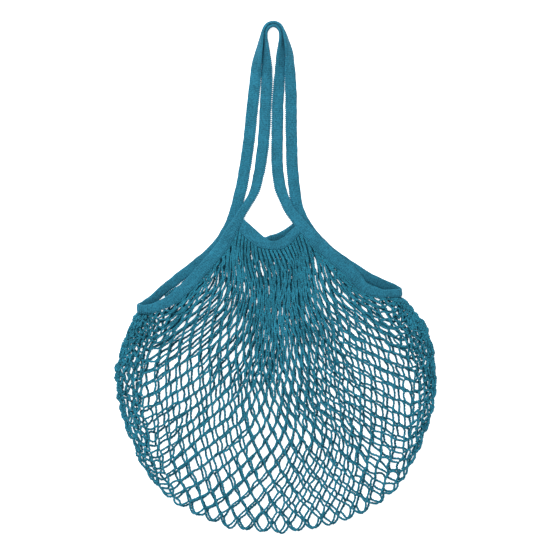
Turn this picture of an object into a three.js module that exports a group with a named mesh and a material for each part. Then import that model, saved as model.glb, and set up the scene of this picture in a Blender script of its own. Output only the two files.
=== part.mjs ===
// A knitted string shopping bag with long tape handles, laid out flat.
// Millimetres: +X to the right, +Y towards the handles, +Z up from the surface that it lies on.
import * as THREE from "three";

// Driving sizes
const bodyWidth = 399.4;
const bodyDepth = 362;
const handleRise = 277.5;
const tapeWidth = 14.6;
const tapeThickness = 3.5;
const tapeCorner = 1;
const netThickness = 3;
const insideHeight = 7;
const frontTapeLift = 11.75;
const cordWidth = 6;
const edgeSlope = 14;
const seamGap = 0.5;
const jointGap = 0.15;
const longestStep = 13;
const sharpestTurn = 26;

// The net of each layer: cells across, and half cells from the mouth to the bottom
const cellsAcross = 8;
const halfRows = 8;
const bandShare = 0.36;

const halfWidth = bodyWidth / 2;
const mouthHeight = (bodyDepth - handleRise) / 2;

// Every table gives out as a share of half the body's width. up is a share of the handles' rise above
// the mouth, and below the mouth of the body's depth. lift is a share of the front tape's lift.
// across is the direction in plan, in degrees, of the tape's sewn edge, and lean tips that edge up.
// wide is a share of the tape's width, where the real tape is drawn in.

// The front handle, from the left end of its loop round to the right
const frontHandleRows = [
  { out: -0.2858, up: 0.0473, lift: 1.0, across: 326, lean: 0, wide: 1 },
  { out: -0.2438, up: 0.0968, lift: 0.86, across: 328, lean: 0, wide: 0.85 },
  { out: -0.215, up: 0.1342, lift: 0.66, across: 328, lean: 0, wide: 0.75 },
  { out: -0.1825, up: 0.1721, lift: 0.46, across: 328, lean: 0, wide: 0.72 },
  { out: -0.1524, up: 0.209, lift: 0.26, across: 331, lean: 0, wide: 0.75 },
  { out: -0.1311, up: 0.2432, lift: 0.1, across: 336, lean: 0, wide: 0.85 },
  { out: -0.1086, up: 0.3108, lift: 0, across: 346, lean: 0, wide: 0.92 },
  { out: -0.0923, up: 0.3829, lift: 0, across: 350, lean: 0, wide: 1 },
  { out: -0.0804, up: 0.455, lift: 0, across: 353, lean: 0, wide: 1 },
  { out: -0.0723, up: 0.527, lift: 0, across: 356, lean: 0, wide: 1 },
  { out: -0.0679, up: 0.5991, lift: 0, across: 358, lean: 0, wide: 1 },
  { out: -0.0673, up: 0.6622, lift: 0, across: 360, lean: 6, wide: 1 },
  { out: -0.066, up: 0.7072, lift: 0, across: 360, lean: 20, wide: 1 },
  { out: -0.0654, up: 0.7613, lift: 0, across: 359, lean: 31, wide: 1 },
  { out: -0.066, up: 0.8153, lift: 0, across: 360, lean: 36, wide: 1 },
  { out: -0.0673, up: 0.8559, lift: 0, across: 360, lean: 42, wide: 1 },
  { out: -0.0679, up: 0.8919, lift: 0, across: 362, lean: 54, wide: 1 },
  { out: -0.066, up: 0.9257, lift: 0, across: 364, lean: 76, wide: 1 },
  { out: -0.0535, up: 0.955, lift: 0, across: 360, lean: 88, wide: 1 },
  { out: -0.0372, up: 0.9712, lift: 0, across: 360, lean: 90, wide: 1 },
  { out: -0.016, up: 0.9779, lift: 0, across: 360, lean: 90, wide: 1 },
  { out: 0.0053, up: 0.9721, lift: 0, across: 360, lean: 90, wide: 1 },
  { out: 0.0216, up: 0.955, lift: 0, across: 360, lean: 92, wide: 1 },
  { out: 0.0329, up: 0.9257, lift: 0, across: 360, lean: 106, wide: 1 },
  { out: 0.0316, up: 0.8919, lift: 0, across: 360, lean: 128, wide: 1 },
  { out: 0.0279, up: 0.8559, lift: 0, across: 358, lean: 139, wide: 1 },
  { out: 0.0254, up: 0.8153, lift: 0, across: 359, lean: 145, wide: 1 },
  { out: 0.0203, up: 0.7613, lift: 0, across: 358, lean: 150, wide: 1 },
  { out: 0.0128, up: 0.7072, lift: 0, across: 358, lean: 160, wide: 1 },
  { out: 0.0085, up: 0.6622, lift: 0, across: 360, lean: 174, wide: 1 },
  { out: 0.0072, up: 0.5991, lift: 0, across: 360, lean: 180, wide: 1 },
  { out: 0.0066, up: 0.527, lift: 0, across: 360, lean: 180, wide: 1 },
  { out: 0.0053, up: 0.455, lift: 0, across: 360, lean: 180, wide: 1 },
  { out: 0.0053, up: 0.3829, lift: 0, across: 361, lean: 180, wide: 1 },
  { out: 0.0116, up: 0.3108, lift: 0, across: 366, lean: 180, wide: 1 },
  { out: 0.0279, up: 0.2432, lift: 0.1, across: 374, lean: 180, wide: 1 },
  { out: 0.0479, up: 0.2027, lift: 0.3, across: 382, lean: 180, wide: 0.9 },
  { out: 0.0742, up: 0.1622, lift: 0.5, across: 390, lean: 180, wide: 0.9 },
  { out: 0.1055, up: 0.127, lift: 0.7, across: 396, lean: 180, wide: 0.92 },
  { out: 0.143, up: 0.0928, lift: 0.88, across: 400, lean: 180, wide: 1 },
  { out: 0.1806, up: 0.0626, lift: 1.0, across: 402, lean: 180, wide: 1 },
];

// The right side band, from the front round the ear to the rear
const rightBandRows = [
  { out: 0.1806, up: 0.0626, lift: 1, across: 222, lean: 0, wide: 1 },
  { out: 0.2432, up: 0.0149, lift: 1, across: 224, lean: 0, wide: 1 },
  { out: 0.3214, up: -0.0311, lift: 1, across: 226, lean: 0, wide: 1 },
  { out: 0.3922, up: -0.0653, lift: 1, across: 227, lean: 0, wide: 1 },
  { out: 0.4435, up: -0.0887, lift: 1, across: 224, lean: 0, wide: 1 },
  { out: 0.4811, up: -0.1084, lift: 1, across: 219, lean: 0, wide: 1 },
  { out: 0.5124, up: -0.1298, lift: 1, across: 223, lean: 0, wide: 1 },
  { out: 0.5474, up: -0.1499, lift: 1, across: 232, lean: 0, wide: 0.9 },
  { out: 0.5844, up: -0.1623, lift: 1, across: 244, lean: 0, wide: 0.8 },
  { out: 0.6419, up: -0.1713, lift: 1, across: 258, lean: 0, wide: 0.72 },
  { out: 0.6939, up: -0.174, lift: 1, across: 268, lean: 0, wide: 0.68 },
  { out: 0.749, up: -0.1733, lift: 1, across: 271, lean: 0, wide: 0.7 },
  { out: 0.7703, up: -0.172, lift: 0.854, across: 272, lean: 0, wide: 0.7 },
  { out: 0.779, up: -0.1699, lift: 0.5, across: 272, lean: 0, wide: 0.72 },
  { out: 0.7703, up: -0.1664, lift: 0.146, across: 271, lean: 0, wide: 0.75 },
  { out: 0.749, up: -0.1619, lift: 0, across: 262, lean: 0, wide: 0.85 },
  { out: 0.7033, up: -0.1506, lift: 0, across: 252, lean: 0, wide: 1 },
  { out: 0.6451, up: -0.1381, lift: 0, across: 245, lean: 0, wide: 1 },
  { out: 0.5812, up: -0.1222, lift: 0, across: 241, lean: 0, wide: 1 },
  { out: 0.5186, up: -0.1012, lift: 0, across: 237, lean: 0, wide: 1 },
  { out: 0.446, up: -0.0746, lift: 0, across: 236, lean: 0, wide: 1 },
  { out: 0.3784, up: -0.049, lift: 0, across: 233, lean: 0, wide: 1 },
  { out: 0.3089, up: -0.018, lift: 0, across: 228, lean: 0, wide: 1 },
  { out: 0.2557, up: 0.0153, lift: 0, across: 226, lean: 0, wide: 1 },
  { out: 0.2119, up: 0.0532, lift: 0, across: 225, lean: 0, wide: 1 },
];

// The rear handle, from its right end round to the left
const rearHandleRows = [
  { out: 0.2119, up: 0.0532, lift: 0, across: 405, lean: 180, wide: 1 },
  { out: 0.1743, up: 0.0946, lift: 0, across: 396, lean: 180, wide: 1 },
  { out: 0.1462, up: 0.1351, lift: 0, across: 384, lean: 180, wide: 1 },
  { out: 0.1268, up: 0.1802, lift: 0, across: 372, lean: 180, wide: 1 },
  { out: 0.1155, up: 0.2387, lift: 0, across: 367, lean: 180, wide: 1 },
  { out: 0.1049, up: 0.3108, lift: 0, across: 364, lean: 180, wide: 1 },
  { out: 0.0986, up: 0.3829, lift: 0, across: 362, lean: 180, wide: 1 },
  { out: 0.0961, up: 0.455, lift: 0, across: 361, lean: 180, wide: 1 },
  { out: 0.0942, up: 0.527, lift: 0, across: 360, lean: 180, wide: 1 },
  { out: 0.093, up: 0.5991, lift: 0, across: 360, lean: 180, wide: 1 },
  { out: 0.0917, up: 0.6622, lift: 0, across: 360, lean: 172, wide: 1 },
  { out: 0.0942, up: 0.7072, lift: 0, across: 360, lean: 156, wide: 1 },
  { out: 0.093, up: 0.7613, lift: 0, across: 360, lean: 138, wide: 1 },
  { out: 0.0879, up: 0.8153, lift: 0, across: 360, lean: 118, wide: 1 },
  { out: 0.0842, up: 0.8559, lift: 0, across: 360, lean: 108, wide: 1 },
  { out: 0.0792, up: 0.8919, lift: 0, across: 360, lean: 98, wide: 1 },
  { out: 0.0692, up: 0.9257, lift: 0, across: 360, lean: 90, wide: 1 },
  { out: 0.0516, up: 0.9595, lift: 0, across: 360, lean: 90, wide: 1 },
  { out: 0.0266, up: 0.9815, lift: 0, across: 360, lean: 90, wide: 1 },
  { out: -0.0153, up: 0.9932, lift: 0, across: 360, lean: 90, wide: 1 },
  { out: -0.0548, up: 0.9824, lift: 0, across: 360, lean: 90, wide: 1 },
  { out: -0.0811, up: 0.9595, lift: 0, across: 360, lean: 90, wide: 1 },
  { out: -0.0998, up: 0.9257, lift: 0, across: 360, lean: 90, wide: 1 },
  { out: -0.1111, up: 0.8919, lift: 0, across: 356, lean: 82, wide: 1 },
  { out: -0.1186, up: 0.8559, lift: 0, across: 356, lean: 72, wide: 1 },
  { out: -0.1261, up: 0.8153, lift: 0, across: 356, lean: 62, wide: 1 },
  { out: -0.1349, up: 0.7613, lift: 0, across: 357, lean: 42, wide: 1 },
  { out: -0.1387, up: 0.7072, lift: 0, across: 357, lean: 24, wide: 1 },
  { out: -0.1437, up: 0.6622, lift: 0, across: 356, lean: 8, wide: 1 },
  { out: -0.1524, up: 0.5991, lift: 0, across: 355, lean: 0, wide: 1 },
  { out: -0.1612, up: 0.527, lift: 0, across: 354, lean: 0, wide: 1 },
  { out: -0.1725, up: 0.455, lift: 0, across: 353, lean: 0, wide: 1 },
  { out: -0.1862, up: 0.3829, lift: 0, across: 352, lean: 0, wide: 1 },
  { out: -0.2025, up: 0.3108, lift: 0, across: 350, lean: 0, wide: 1 },
  { out: -0.2225, up: 0.2387, lift: 0, across: 348, lean: 0, wide: 1 },
  { out: -0.2426, up: 0.1802, lift: 0, across: 345, lean: 0, wide: 1 },
  { out: -0.2576, up: 0.1396, lift: 0, across: 342, lean: 0, wide: 1 },
  { out: -0.2789, up: 0.0946, lift: 0, across: 336, lean: 0, wide: 1 },
  { out: -0.3139, up: 0.045, lift: 0, across: 330, lean: 0, wide: 1 },
];

// The left side band, from the rear round the ear to the front
const leftBandRows = [
  { out: -0.3139, up: 0.045, lift: 0, across: 330, lean: 0, wide: 1 },
  { out: -0.3527, up: 0.0023, lift: 0, across: 322, lean: 0, wide: 1 },
  { out: -0.4141, up: -0.0359, lift: 0, across: 314, lean: 0, wide: 1 },
  { out: -0.513, up: -0.0811, lift: 0, across: 310, lean: 0, wide: 1 },
  { out: -0.5925, up: -0.1167, lift: 0, across: 308, lean: 0, wide: 1 },
  { out: -0.7052, up: -0.1664, lift: 0, across: 302, lean: 0, wide: 1 },
  { out: -0.7847, up: -0.2013, lift: 0, across: 290, lean: 0, wide: 0.95 },
  { out: -0.8322, up: -0.2162, lift: 0, across: 278, lean: 0, wide: 0.8 },
  { out: -0.8541, up: -0.222, lift: 0.146, across: 273, lean: 0, wide: 0.78 },
  { out: -0.8629, up: -0.2251, lift: 0.5, across: 272, lean: 0, wide: 0.78 },
  { out: -0.8541, up: -0.2279, lift: 0.854, across: 272, lean: 0, wide: 0.78 },
  { out: -0.8322, up: -0.2286, lift: 1, across: 273, lean: 0, wide: 0.78 },
  { out: -0.7991, up: -0.2279, lift: 1, across: 279, lean: 0, wide: 0.78 },
  { out: -0.7427, up: -0.2196, lift: 1, across: 288, lean: 0, wide: 0.85 },
  { out: -0.6757, up: -0.2023, lift: 1, across: 298, lean: 0, wide: 0.95 },
  { out: -0.6156, up: -0.1782, lift: 1, across: 306, lean: 0, wide: 1 },
  { out: -0.5581, up: -0.1495, lift: 1, across: 312, lean: 0, wide: 1 },
  { out: -0.4548, up: -0.0881, lift: 1, across: 316, lean: 0, wide: 1 },
  { out: -0.3922, up: -0.0483, lift: 1, across: 318, lean: 0, wide: 1 },
  { out: -0.3315, up: -0.0059, lift: 1, across: 323, lean: 0, wide: 1 },
  { out: -0.2858, up: 0.0473, lift: 1, across: 326, lean: 0, wide: 1 },
];

// The centre bands, from left to right: their upper and lower edges
const frontCentreRows = [
  { topOut: -0.1844, topUp: 0.095, lowOut: -0.2188, lowUp: 0.0437 },
  { topOut: -0.1543, topUp: 0.0752, lowOut: -0.1887, lowUp: 0.023 },
  { topOut: -0.1199, topUp: 0.0541, lowOut: -0.1543, lowUp: 0.0032 },
  { topOut: -0.0761, topUp: 0.027, lowOut: -0.1011, lowUp: -0.0159 },
  { topOut: -0.021, topUp: 0.0081, lowOut: -0.0322, lowUp: -0.0224 },
  { topOut: 0.0178, topUp: 0.0149, lowOut: 0.0241, lowUp: -0.0228 },
  { topOut: 0.0523, topUp: 0.0293, lowOut: 0.0742, lowUp: -0.0097 },
  { topOut: 0.0804, topUp: 0.0482, lowOut: 0.1086, lowUp: 0.0108 },
  { topOut: 0.113, topUp: 0.0725, lowOut: 0.1499, lowUp: 0.041 },
];
const rearCentreRows = [
  { topOut: -0.2357, topUp: 0.0919, lowOut: -0.2701, lowUp: 0.0396 },
  { topOut: -0.1887, topUp: 0.0685, lowOut: -0.2163, lowUp: 0.0153 },
  { topOut: -0.1261, topUp: 0.0432, lowOut: -0.1387, lowUp: -0.0104 },
  { topOut: -0.0729, topUp: 0.027, lowOut: -0.0698, lowUp: -0.0214 },
  { topOut: -0.0291, topUp: 0.036, lowOut: -0.0166, lowUp: -0.0145 },
  { topOut: 0.0304, topUp: 0.0518, lowOut: 0.0585, lowUp: 0.0 },
  { topOut: 0.0804, topUp: 0.0757, lowOut: 0.1149, lowUp: 0.027 },
  { topOut: 0.1224, topUp: 0.1, lowOut: 0.1637, lowUp: 0.0518 },
];

// The body's outline, from the left ear down round the bottom to the right ear
const outlineRows = [
  { out: -0.8585, up: -0.2472 },
  { out: -0.8961, up: -0.2728 },
  { out: -0.9274, up: -0.3039 },
  { out: -0.9649, up: -0.3695 },
  { out: -0.9912, up: -0.4316 },
  { out: -1.0, up: -0.4869 },
  { out: -0.9881, up: -0.5421 },
  { out: -0.9649, up: -0.5905 },
  { out: -0.9274, up: -0.6526 },
  { out: -0.8773, up: -0.7182 },
  { out: -0.8147, up: -0.7838 },
  { out: -0.7521, up: -0.8391 },
  { out: -0.702, up: -0.865 },
  { out: -0.6081, up: -0.9047 },
  { out: -0.4892, up: -0.941 },
  { out: -0.4016, up: -0.9599 },
  { out: -0.3202, up: -0.9789 },
  { out: -0.1574, up: -0.9927 },
  { out: -0.0385, up: -0.9979 },
  { out: 0.0679, up: -1.0 },
  { out: 0.1743, up: -0.9945 },
  { out: 0.287, up: -0.9824 },
  { out: 0.3934, up: -0.9634 },
  { out: 0.456, up: -0.9513 },
  { out: 0.5624, up: -0.9289 },
  { out: 0.625, up: -0.9081 },
  { out: 0.6939, up: -0.8805 },
  { out: 0.7502, up: -0.846 },
  { out: 0.8066, up: -0.8046 },
  { out: 0.8629, up: -0.7528 },
  { out: 0.9005, up: -0.7079 },
  { out: 0.9286, up: -0.6595 },
  { out: 0.9631, up: -0.6043 },
  { out: 0.985, up: -0.5525 },
  { out: 1.0, up: -0.4869 },
  { out: 0.9931, up: -0.4178 },
  { out: 0.9693, up: -0.3557 },
  { out: 0.938, up: -0.3073 },
  { out: 0.8942, up: -0.2659 },
  { out: 0.8379, up: -0.2244 },
  { out: 0.7853, up: -0.1927 },
];
const lowerLeftRow = 11;
const lowerRightRow = 27;

function place(out, up) {
  const rise = up > 0 ? up * handleRise : up * bodyDepth;
  return new THREE.Vector2(out * halfWidth, mouthHeight + rise);
}

// The height of a leaning tape's middle above what it rests on
function restHeight(lean, wide) {
  const tip = THREE.MathUtils.degToRad(lean);
  const side = Math.abs(Math.sin(tip)) * (tapeWidth * wide) / 2;
  return side + Math.abs(Math.cos(tip)) * tapeThickness / 2;
}

// One station of the tape: its middle, the way to its sewn edge, and its width
function tapeStation(row) {
  const spot = place(row.out, row.up);
  const turn = THREE.MathUtils.degToRad(row.across);
  const tip = THREE.MathUtils.degToRad(row.lean);
  const flat = Math.cos(tip);
  return {
    middle: new THREE.Vector3(spot.x, spot.y, restHeight(row.lean, row.wide) + row.lift * frontTapeLift),
    sewn: new THREE.Vector3(flat * Math.cos(turn), flat * Math.sin(turn), Math.sin(tip)),
    width: tapeWidth * row.wide,
    lift: row.lift,
  };
}

// The whole tape is one closed loop. Each table ends where the next one starts.
const tapeTables = [frontHandleRows, rightBandRows, rearHandleRows, leftBandRows];
const tapeStations = tapeTables.flatMap((rows) => rows.slice(0, -1).map(tapeStation));
const tapeCurve = new THREE.CatmullRomCurve3(tapeStations.map((s) => s.middle), true, "centripetal");

function tapeAt(index) {
  const count = tapeStations.length;
  const low = Math.floor(index) % count;
  const high = (low + 1) % count;
  const share = index - Math.floor(index);
  const middle = tapeCurve.getPoint((index % count) / count);
  const along = tapeCurve.getTangent((index % count) / count);
  const sewn = tapeStations[low].sewn.clone().lerp(tapeStations[high].sewn, share);
  sewn.addScaledVector(along, -sewn.dot(along)).normalize();
  return {
    middle,
    along,
    sewn,
    face: new THREE.Vector3().crossVectors(along, sewn).normalize(),
    width: THREE.MathUtils.lerp(tapeStations[low].width, tapeStations[high].width, share),
    lift: THREE.MathUtils.lerp(tapeStations[low].lift, tapeStations[high].lift, share),
  };
}

// Stations along a stretch of the tape, closer where it turns, drawn back from both ends by the joint gap
function tapeStretch(first, last) {
  const spots = [];
  for (let row = first; row < last; row += 1) {
    const here = tapeAt(row);
    const next = tapeAt(row + 1);
    const run = here.middle.distanceTo(next.middle);
    const turn = THREE.MathUtils.radToDeg(here.along.angleTo(next.along) + here.face.angleTo(next.face));
    const count = Math.max(1, Math.ceil(run / longestStep), Math.ceil(turn / sharpestTurn));
    for (let k = 0; k < count; k += 1) spots.push(row + k / count);
    if (row === first) spots[0] += jointGap / run;
    if (row === last - 1) spots.push(row + 1 - jointGap / run);
  }
  return spots.map(tapeAt);
}

// The eight corners of a tape's section, across its width and its thickness
function sectionCorners(station) {
  const w = station.width / 2;
  const t = tapeThickness / 2;
  const c = tapeCorner;
  const around = [[w, t - c], [w - c, t], [c - w, t], [-w, t - c], [-w, c - t], [c - w, -t], [w - c, -t], [w, c - t]];
  const corners = around.map(([a, b]) => station.middle.clone()
    .addScaledVector(station.sewn, a)
    .addScaledVector(station.face, b));
  const lowest = Math.min(...corners.map((p) => p.z));
  if (lowest < 0) corners.forEach((p) => { p.z -= lowest; });
  return corners;
}

// A closed band through the sections
function loftSections(sections) {
  const sides = sections[0].length;
  const positions = [];
  const faces = [];
  sections.forEach((ring) => ring.forEach((p) => positions.push(p.x, p.y, p.z)));
  for (let i = 0; i + 1 < sections.length; i += 1) {
    for (let j = 0; j < sides; j += 1) {
      const a = i * sides + j;
      const b = i * sides + (j + 1) % sides;
      faces.push(a, b, a + sides, b, b + sides, a + sides);
    }
  }
  const end = (sections.length - 1) * sides;
  for (let j = 1; j + 1 < sides; j += 1) {
    faces.push(0, j + 1, j);
    faces.push(end, end + j, end + j + 1);
  }
  const geometry = new THREE.BufferGeometry();
  geometry.setAttribute("position", new THREE.Float32BufferAttribute(positions, 3));
  geometry.setIndex(faces);
  return geometry;
}

// A centre band, flat at one height, drawn in a little where it sags
function centreStations(rows, height) {
  const top = new THREE.SplineCurve(rows.map((r) => place(r.topOut, r.topUp)));
  const low = new THREE.SplineCurve(rows.map((r) => place(r.lowOut, r.lowUp)));
  const steps = 2 * (rows.length - 1);
  const stations = [];
  for (let i = 0; i <= steps; i += 1) {
    const a = top.getPoint(i / steps);
    const b = low.getPoint(i / steps);
    const sewn = new THREE.Vector3(b.x - a.x, b.y - a.y, 0);
    stations.push({
      middle: new THREE.Vector3((a.x + b.x) / 2, (a.y + b.y) / 2, height),
      width: sewn.length(),
      sewn: sewn.normalize(),
      face: new THREE.Vector3(0, 0, -1),
    });
  }
  return stations;
}

// Points in plan just off the sewn edge of a band
function sewnEdge(stations) {
  return stations.map((s) => {
    const plan = new THREE.Vector2(s.middle.x, s.middle.y);
    return plan.add(new THREE.Vector2(s.sewn.x, s.sewn.y).multiplyScalar(s.width / 2 + seamGap));
  });
}

// A point at a share of a line's length
function pointAlong(line, share) {
  const reach = [0];
  for (let i = 1; i < line.length; i += 1) reach.push(reach[i - 1] + line[i].distanceTo(line[i - 1]));
  const wanted = share * reach[reach.length - 1];
  let i = 0;
  while (i < line.length - 2 && reach[i + 1] < wanted) i += 1;
  return line[i].clone().lerp(line[i + 1], (wanted - reach[i]) / (reach[i + 1] - reach[i]));
}

function distanceToLine(point, line) {
  let best = Infinity;
  for (let i = 0; i + 1 < line.length; i += 1) {
    const run = line[i + 1].clone().sub(line[i]);
    const along = THREE.MathUtils.clamp(point.clone().sub(line[i]).dot(run) / run.lengthSq(), 0, 1);
    best = Math.min(best, point.distanceTo(line[i].clone().addScaledVector(run, along)));
  }
  return best;
}

const outline = outlineRows.map((row) => place(row.out, row.up));
const leftLine = outline.slice(0, lowerLeftRow + 1);
const bottomLine = outline.slice(lowerLeftRow, lowerRightRow + 1);
const rightLine = outline.slice(lowerRightRow).reverse();

// The map from shares across and down the net to its plan, drawn in at the centre band
function netMap(mouth) {
  return (across, down) => {
    const [first, middle, last] = mouth;
    let top;
    if (across < bandShare) top = pointAlong(first, across / bandShare);
    else if (across > 1 - bandShare) top = pointAlong(last, (across - 1 + bandShare) / bandShare);
    else top = pointAlong(middle, (across - bandShare) / (1 - 2 * bandShare));
    const bottom = pointAlong(bottomLine, across);
    const left = pointAlong(leftLine, down);
    const right = pointAlong(rightLine, down);
    const point = top.multiplyScalar(1 - down).add(bottom.multiplyScalar(down));
    point.add(left.multiplyScalar(1 - across)).add(right.multiplyScalar(across));
    point.addScaledVector(first[0], -(1 - across) * (1 - down));
    point.addScaledVector(last[last.length - 1], -across * (1 - down));
    point.addScaledVector(bottomLine[0], -(1 - across) * down);
    return point.addScaledVector(bottomLine[bottomLine.length - 1], -across * down);
  };
}

// One open cell: the cell's outline on the net, drawn in by half a cord on every side
function openCell(map, corners) {
  const ring = [];
  corners.forEach(([across, down], i) => {
    const [nextAcross, nextDown] = corners[(i + 1) % corners.length];
    ring.push(map(across, down));
    ring.push(map((across + nextAcross) / 2, (down + nextDown) / 2));
  });
  const area = Math.abs(THREE.ShapeUtils.area(ring));
  const around = ring.reduce((sum, p, i) => sum + p.distanceTo(ring[(i + 1) % ring.length]), 0);
  const centre = ring.reduce((sum, p) => sum.add(p), new THREE.Vector2()).divideScalar(ring.length);
  const open = 1 - (cordWidth / 2) / (2 * area / around);
  return ring.map((p) => centre.clone().lerp(p, open));
}

function netCells(map) {
  const cells = [];
  const side = 0.5 / cellsAcross;
  const half = 1 / halfRows;
  for (let j = 1; j < halfRows; j += 1) {
    const down = j * half;
    const first = j % 2 === 1 ? 0.5 : 1;
    for (let i = first; i < cellsAcross; i += 1) {
      const across = i / cellsAcross;
      cells.push(openCell(map, [[across - side, down], [across, down + half], [across + side, down], [across, down - half]]));
    }
    if (first === 1) {
      cells.push(openCell(map, [[0, down - half], [0, down + half], [side, down]]));
      cells.push(openCell(map, [[1, down - half], [1 - side, down], [1, down + half]]));
    }
  }
  return cells;
}

// A layer of net: a sheet cut through at its cells, raised to the height that heightAt gives
function netSheet(mouth, heightAt) {
  const mouthLine = mouth.flat();
  const contour = [...mouthLine, ...outline.slice(1, -1).reverse()];
  const shape = new THREE.Shape(contour);
  netCells(netMap(mouth)).forEach((cell) => shape.holes.push(new THREE.Path(cell)));
  const geometry = new THREE.ExtrudeGeometry(shape, { depth: netThickness, bevelEnabled: false });
  const spots = geometry.getAttribute("position");
  for (let i = 0; i < spots.count; i += 1) {
    const plan = new THREE.Vector2(spots.getX(i), spots.getY(i));
    spots.setZ(i, spots.getZ(i) + heightAt(plan, mouthLine));
  }
  geometry.computeVertexNormals();
  return geometry;
}

// The front layer rests on the rear one at both sides and at the bottom, and rises to the front tape
const edgeHeight = netThickness + 0.3;
const plateauHeight = netThickness + insideHeight;
const mouthNetHeight = frontTapeLift + (tapeThickness - netThickness) / 2;
function frontHeight(plan, mouthLine) {
  const towardsMouth = THREE.MathUtils.smoothstep(distanceToLine(plan, mouthLine), 0, 3 * edgeSlope);
  const inner = THREE.MathUtils.lerp(mouthNetHeight, plateauHeight, towardsMouth);
  const inwards = THREE.MathUtils.smoothstep(distanceToLine(plan, outline), 0, edgeSlope);
  return THREE.MathUtils.lerp(edgeHeight, inner, inwards);
}

// The four stretches of the tape, by the number of rows in each table
const ends = [0];
tapeTables.forEach((rows) => ends.push(ends[ends.length - 1] + rows.length - 1));
const frontHandle = tapeStretch(ends[0], ends[1]);
const rightBand = tapeStretch(ends[1], ends[2]);
const rearHandle = tapeStretch(ends[2], ends[3]);
const leftBand = tapeStretch(ends[3], ends[4]);
const frontCentre = centreStations(frontCentreRows, tapeThickness / 2 + frontTapeLift);
const rearCentre = centreStations(rearCentreRows, tapeThickness / 2);

// Where each layer is sewn on, from the left ear to the right one
const leftEar = outline[0];
const rightEar = outline[outline.length - 1];
const raised = (s) => s.lift > 0.999;
const lowered = (s) => s.lift < 0.001 && s.width > 0.93 * tapeWidth;
const frontMouth = [
  [leftEar, ...sewnEdge(leftBand.filter(raised))],
  sewnEdge(frontCentre),
  [...sewnEdge(rightBand.filter(raised)), rightEar],
];
const rearMouth = [
  [leftEar, ...sewnEdge(leftBand.filter(lowered)).reverse()],
  sewnEdge(rearCentre),
  [...sewnEdge(rightBand.filter(lowered)).reverse(), rightEar],
];

const group = new THREE.Group();
function addPiece(name, geometry, colour) {
  const material = new THREE.MeshStandardMaterial({ color: colour, roughness: 0.9 });
  material.name = name;
  const mesh = new THREE.Mesh(geometry, material);
  mesh.name = name;
  group.add(mesh);
}

addPiece("front_handle", loftSections(frontHandle.map(sectionCorners)), 0x2f7691);
addPiece("rear_handle", loftSections(rearHandle.map(sectionCorners)), 0x2b6e89);
addPiece("left_side_band", loftSections(leftBand.map(sectionCorners)), 0x2f7691);
addPiece("right_side_band", loftSections(rightBand.map(sectionCorners)), 0x2f7691);
addPiece("front_centre_band", loftSections(frontCentre.map(sectionCorners)), 0x2f7691);
addPiece("rear_centre_band", loftSections(rearCentre.map(sectionCorners)), 0x2b6e89);
addPiece("front_net", netSheet(frontMouth, frontHeight), 0x2a6f8a);
addPiece("rear_net", netSheet(rearMouth, () => 0), 0x276a85);

export default group;
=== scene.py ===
"""A knitted string shopping bag, laid out flat and seen from straight above.

Lengths in the tables are in millimetres, in the frame of the solids: X to the right, Y towards
the handles, Z up from the surface. Everything is turned into metres where a mesh is made.
"""

import math

import bpy
import numpy as np
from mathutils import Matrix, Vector


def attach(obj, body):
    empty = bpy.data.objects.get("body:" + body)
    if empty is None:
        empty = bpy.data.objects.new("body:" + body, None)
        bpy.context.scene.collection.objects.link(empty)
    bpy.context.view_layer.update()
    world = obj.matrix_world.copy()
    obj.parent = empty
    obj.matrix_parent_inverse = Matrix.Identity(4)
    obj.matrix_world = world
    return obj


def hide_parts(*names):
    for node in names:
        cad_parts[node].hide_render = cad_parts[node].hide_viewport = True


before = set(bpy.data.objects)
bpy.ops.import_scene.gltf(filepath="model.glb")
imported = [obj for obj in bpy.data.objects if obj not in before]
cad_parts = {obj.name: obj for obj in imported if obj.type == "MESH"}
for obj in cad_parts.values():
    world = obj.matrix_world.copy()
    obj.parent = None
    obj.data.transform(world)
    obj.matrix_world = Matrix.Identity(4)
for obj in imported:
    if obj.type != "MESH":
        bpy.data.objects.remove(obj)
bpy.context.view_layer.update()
scene = bpy.context.scene

MM = 0.001

# The view: width of the field at the bag's middle height, the point under its middle, and the lens
FIELD = 696.25
FIELD_MIDDLE = (2.94, -2.08)
MIDDLE_HEIGHT = 8.0
FOCAL = 200.0
SENSOR = 36.0

# The folded tape: its size, how far the front lies above the rear, and the stitches near its sewn edge
TAPE_WIDTH = 14.6
TAPE_THICKNESS = 3.4
FRONT_LIFT = 11.75
TAPE_STEP = 0.6
STITCH_PITCH = 2.4
STITCH_ROW = 0.68
FRONT_TUCK = 3.2
REAR_TILT = 34.0
LEAST_HEIGHT = 0.05

# The cords of the net: radius, longest run between two joints, half the gap of two cords at a joint
CORD_RADIUS = 1.4
CORD_EDGE = 15.8
JOINT_OFFSET = 1.1
CORD_SAMPLES = 9
CORD_SIDES = 6

# The lattice of joints: how much of each side of the mouth the columns start on, the way from the
# mouth to the bottom, and how close the joints lie for shares of the seam and of a row
COLUMNS = 70
ROWS = 26
REACH = 0.15
LONG_RUN = 354.0
SEAM_JITTER = 0.9
EDGE_COLUMNS = 9
RELAX_STEPS = 120
EVEN = ([0.0, 1.0], [1.0, 1.0])
SEAM_CLOSENESS = ([0.0, 0.2, 0.4, 0.6, 0.8, 1.0], [0.85, 0.9, 1.0, 1.0, 0.9, 0.85])
ROW_CLOSENESS = (
    [0.0, 0.15, 0.25, 0.37, 0.45, 0.55, 0.63, 0.75, 0.85, 1.0],
    [0.12, 0.115, 0.11, 0.135, 0.175, 0.175, 0.135, 0.11, 0.115, 0.12],
)

FLOOR_REACH = 6.0
FLOOR_DROP = 0.0004

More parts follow.
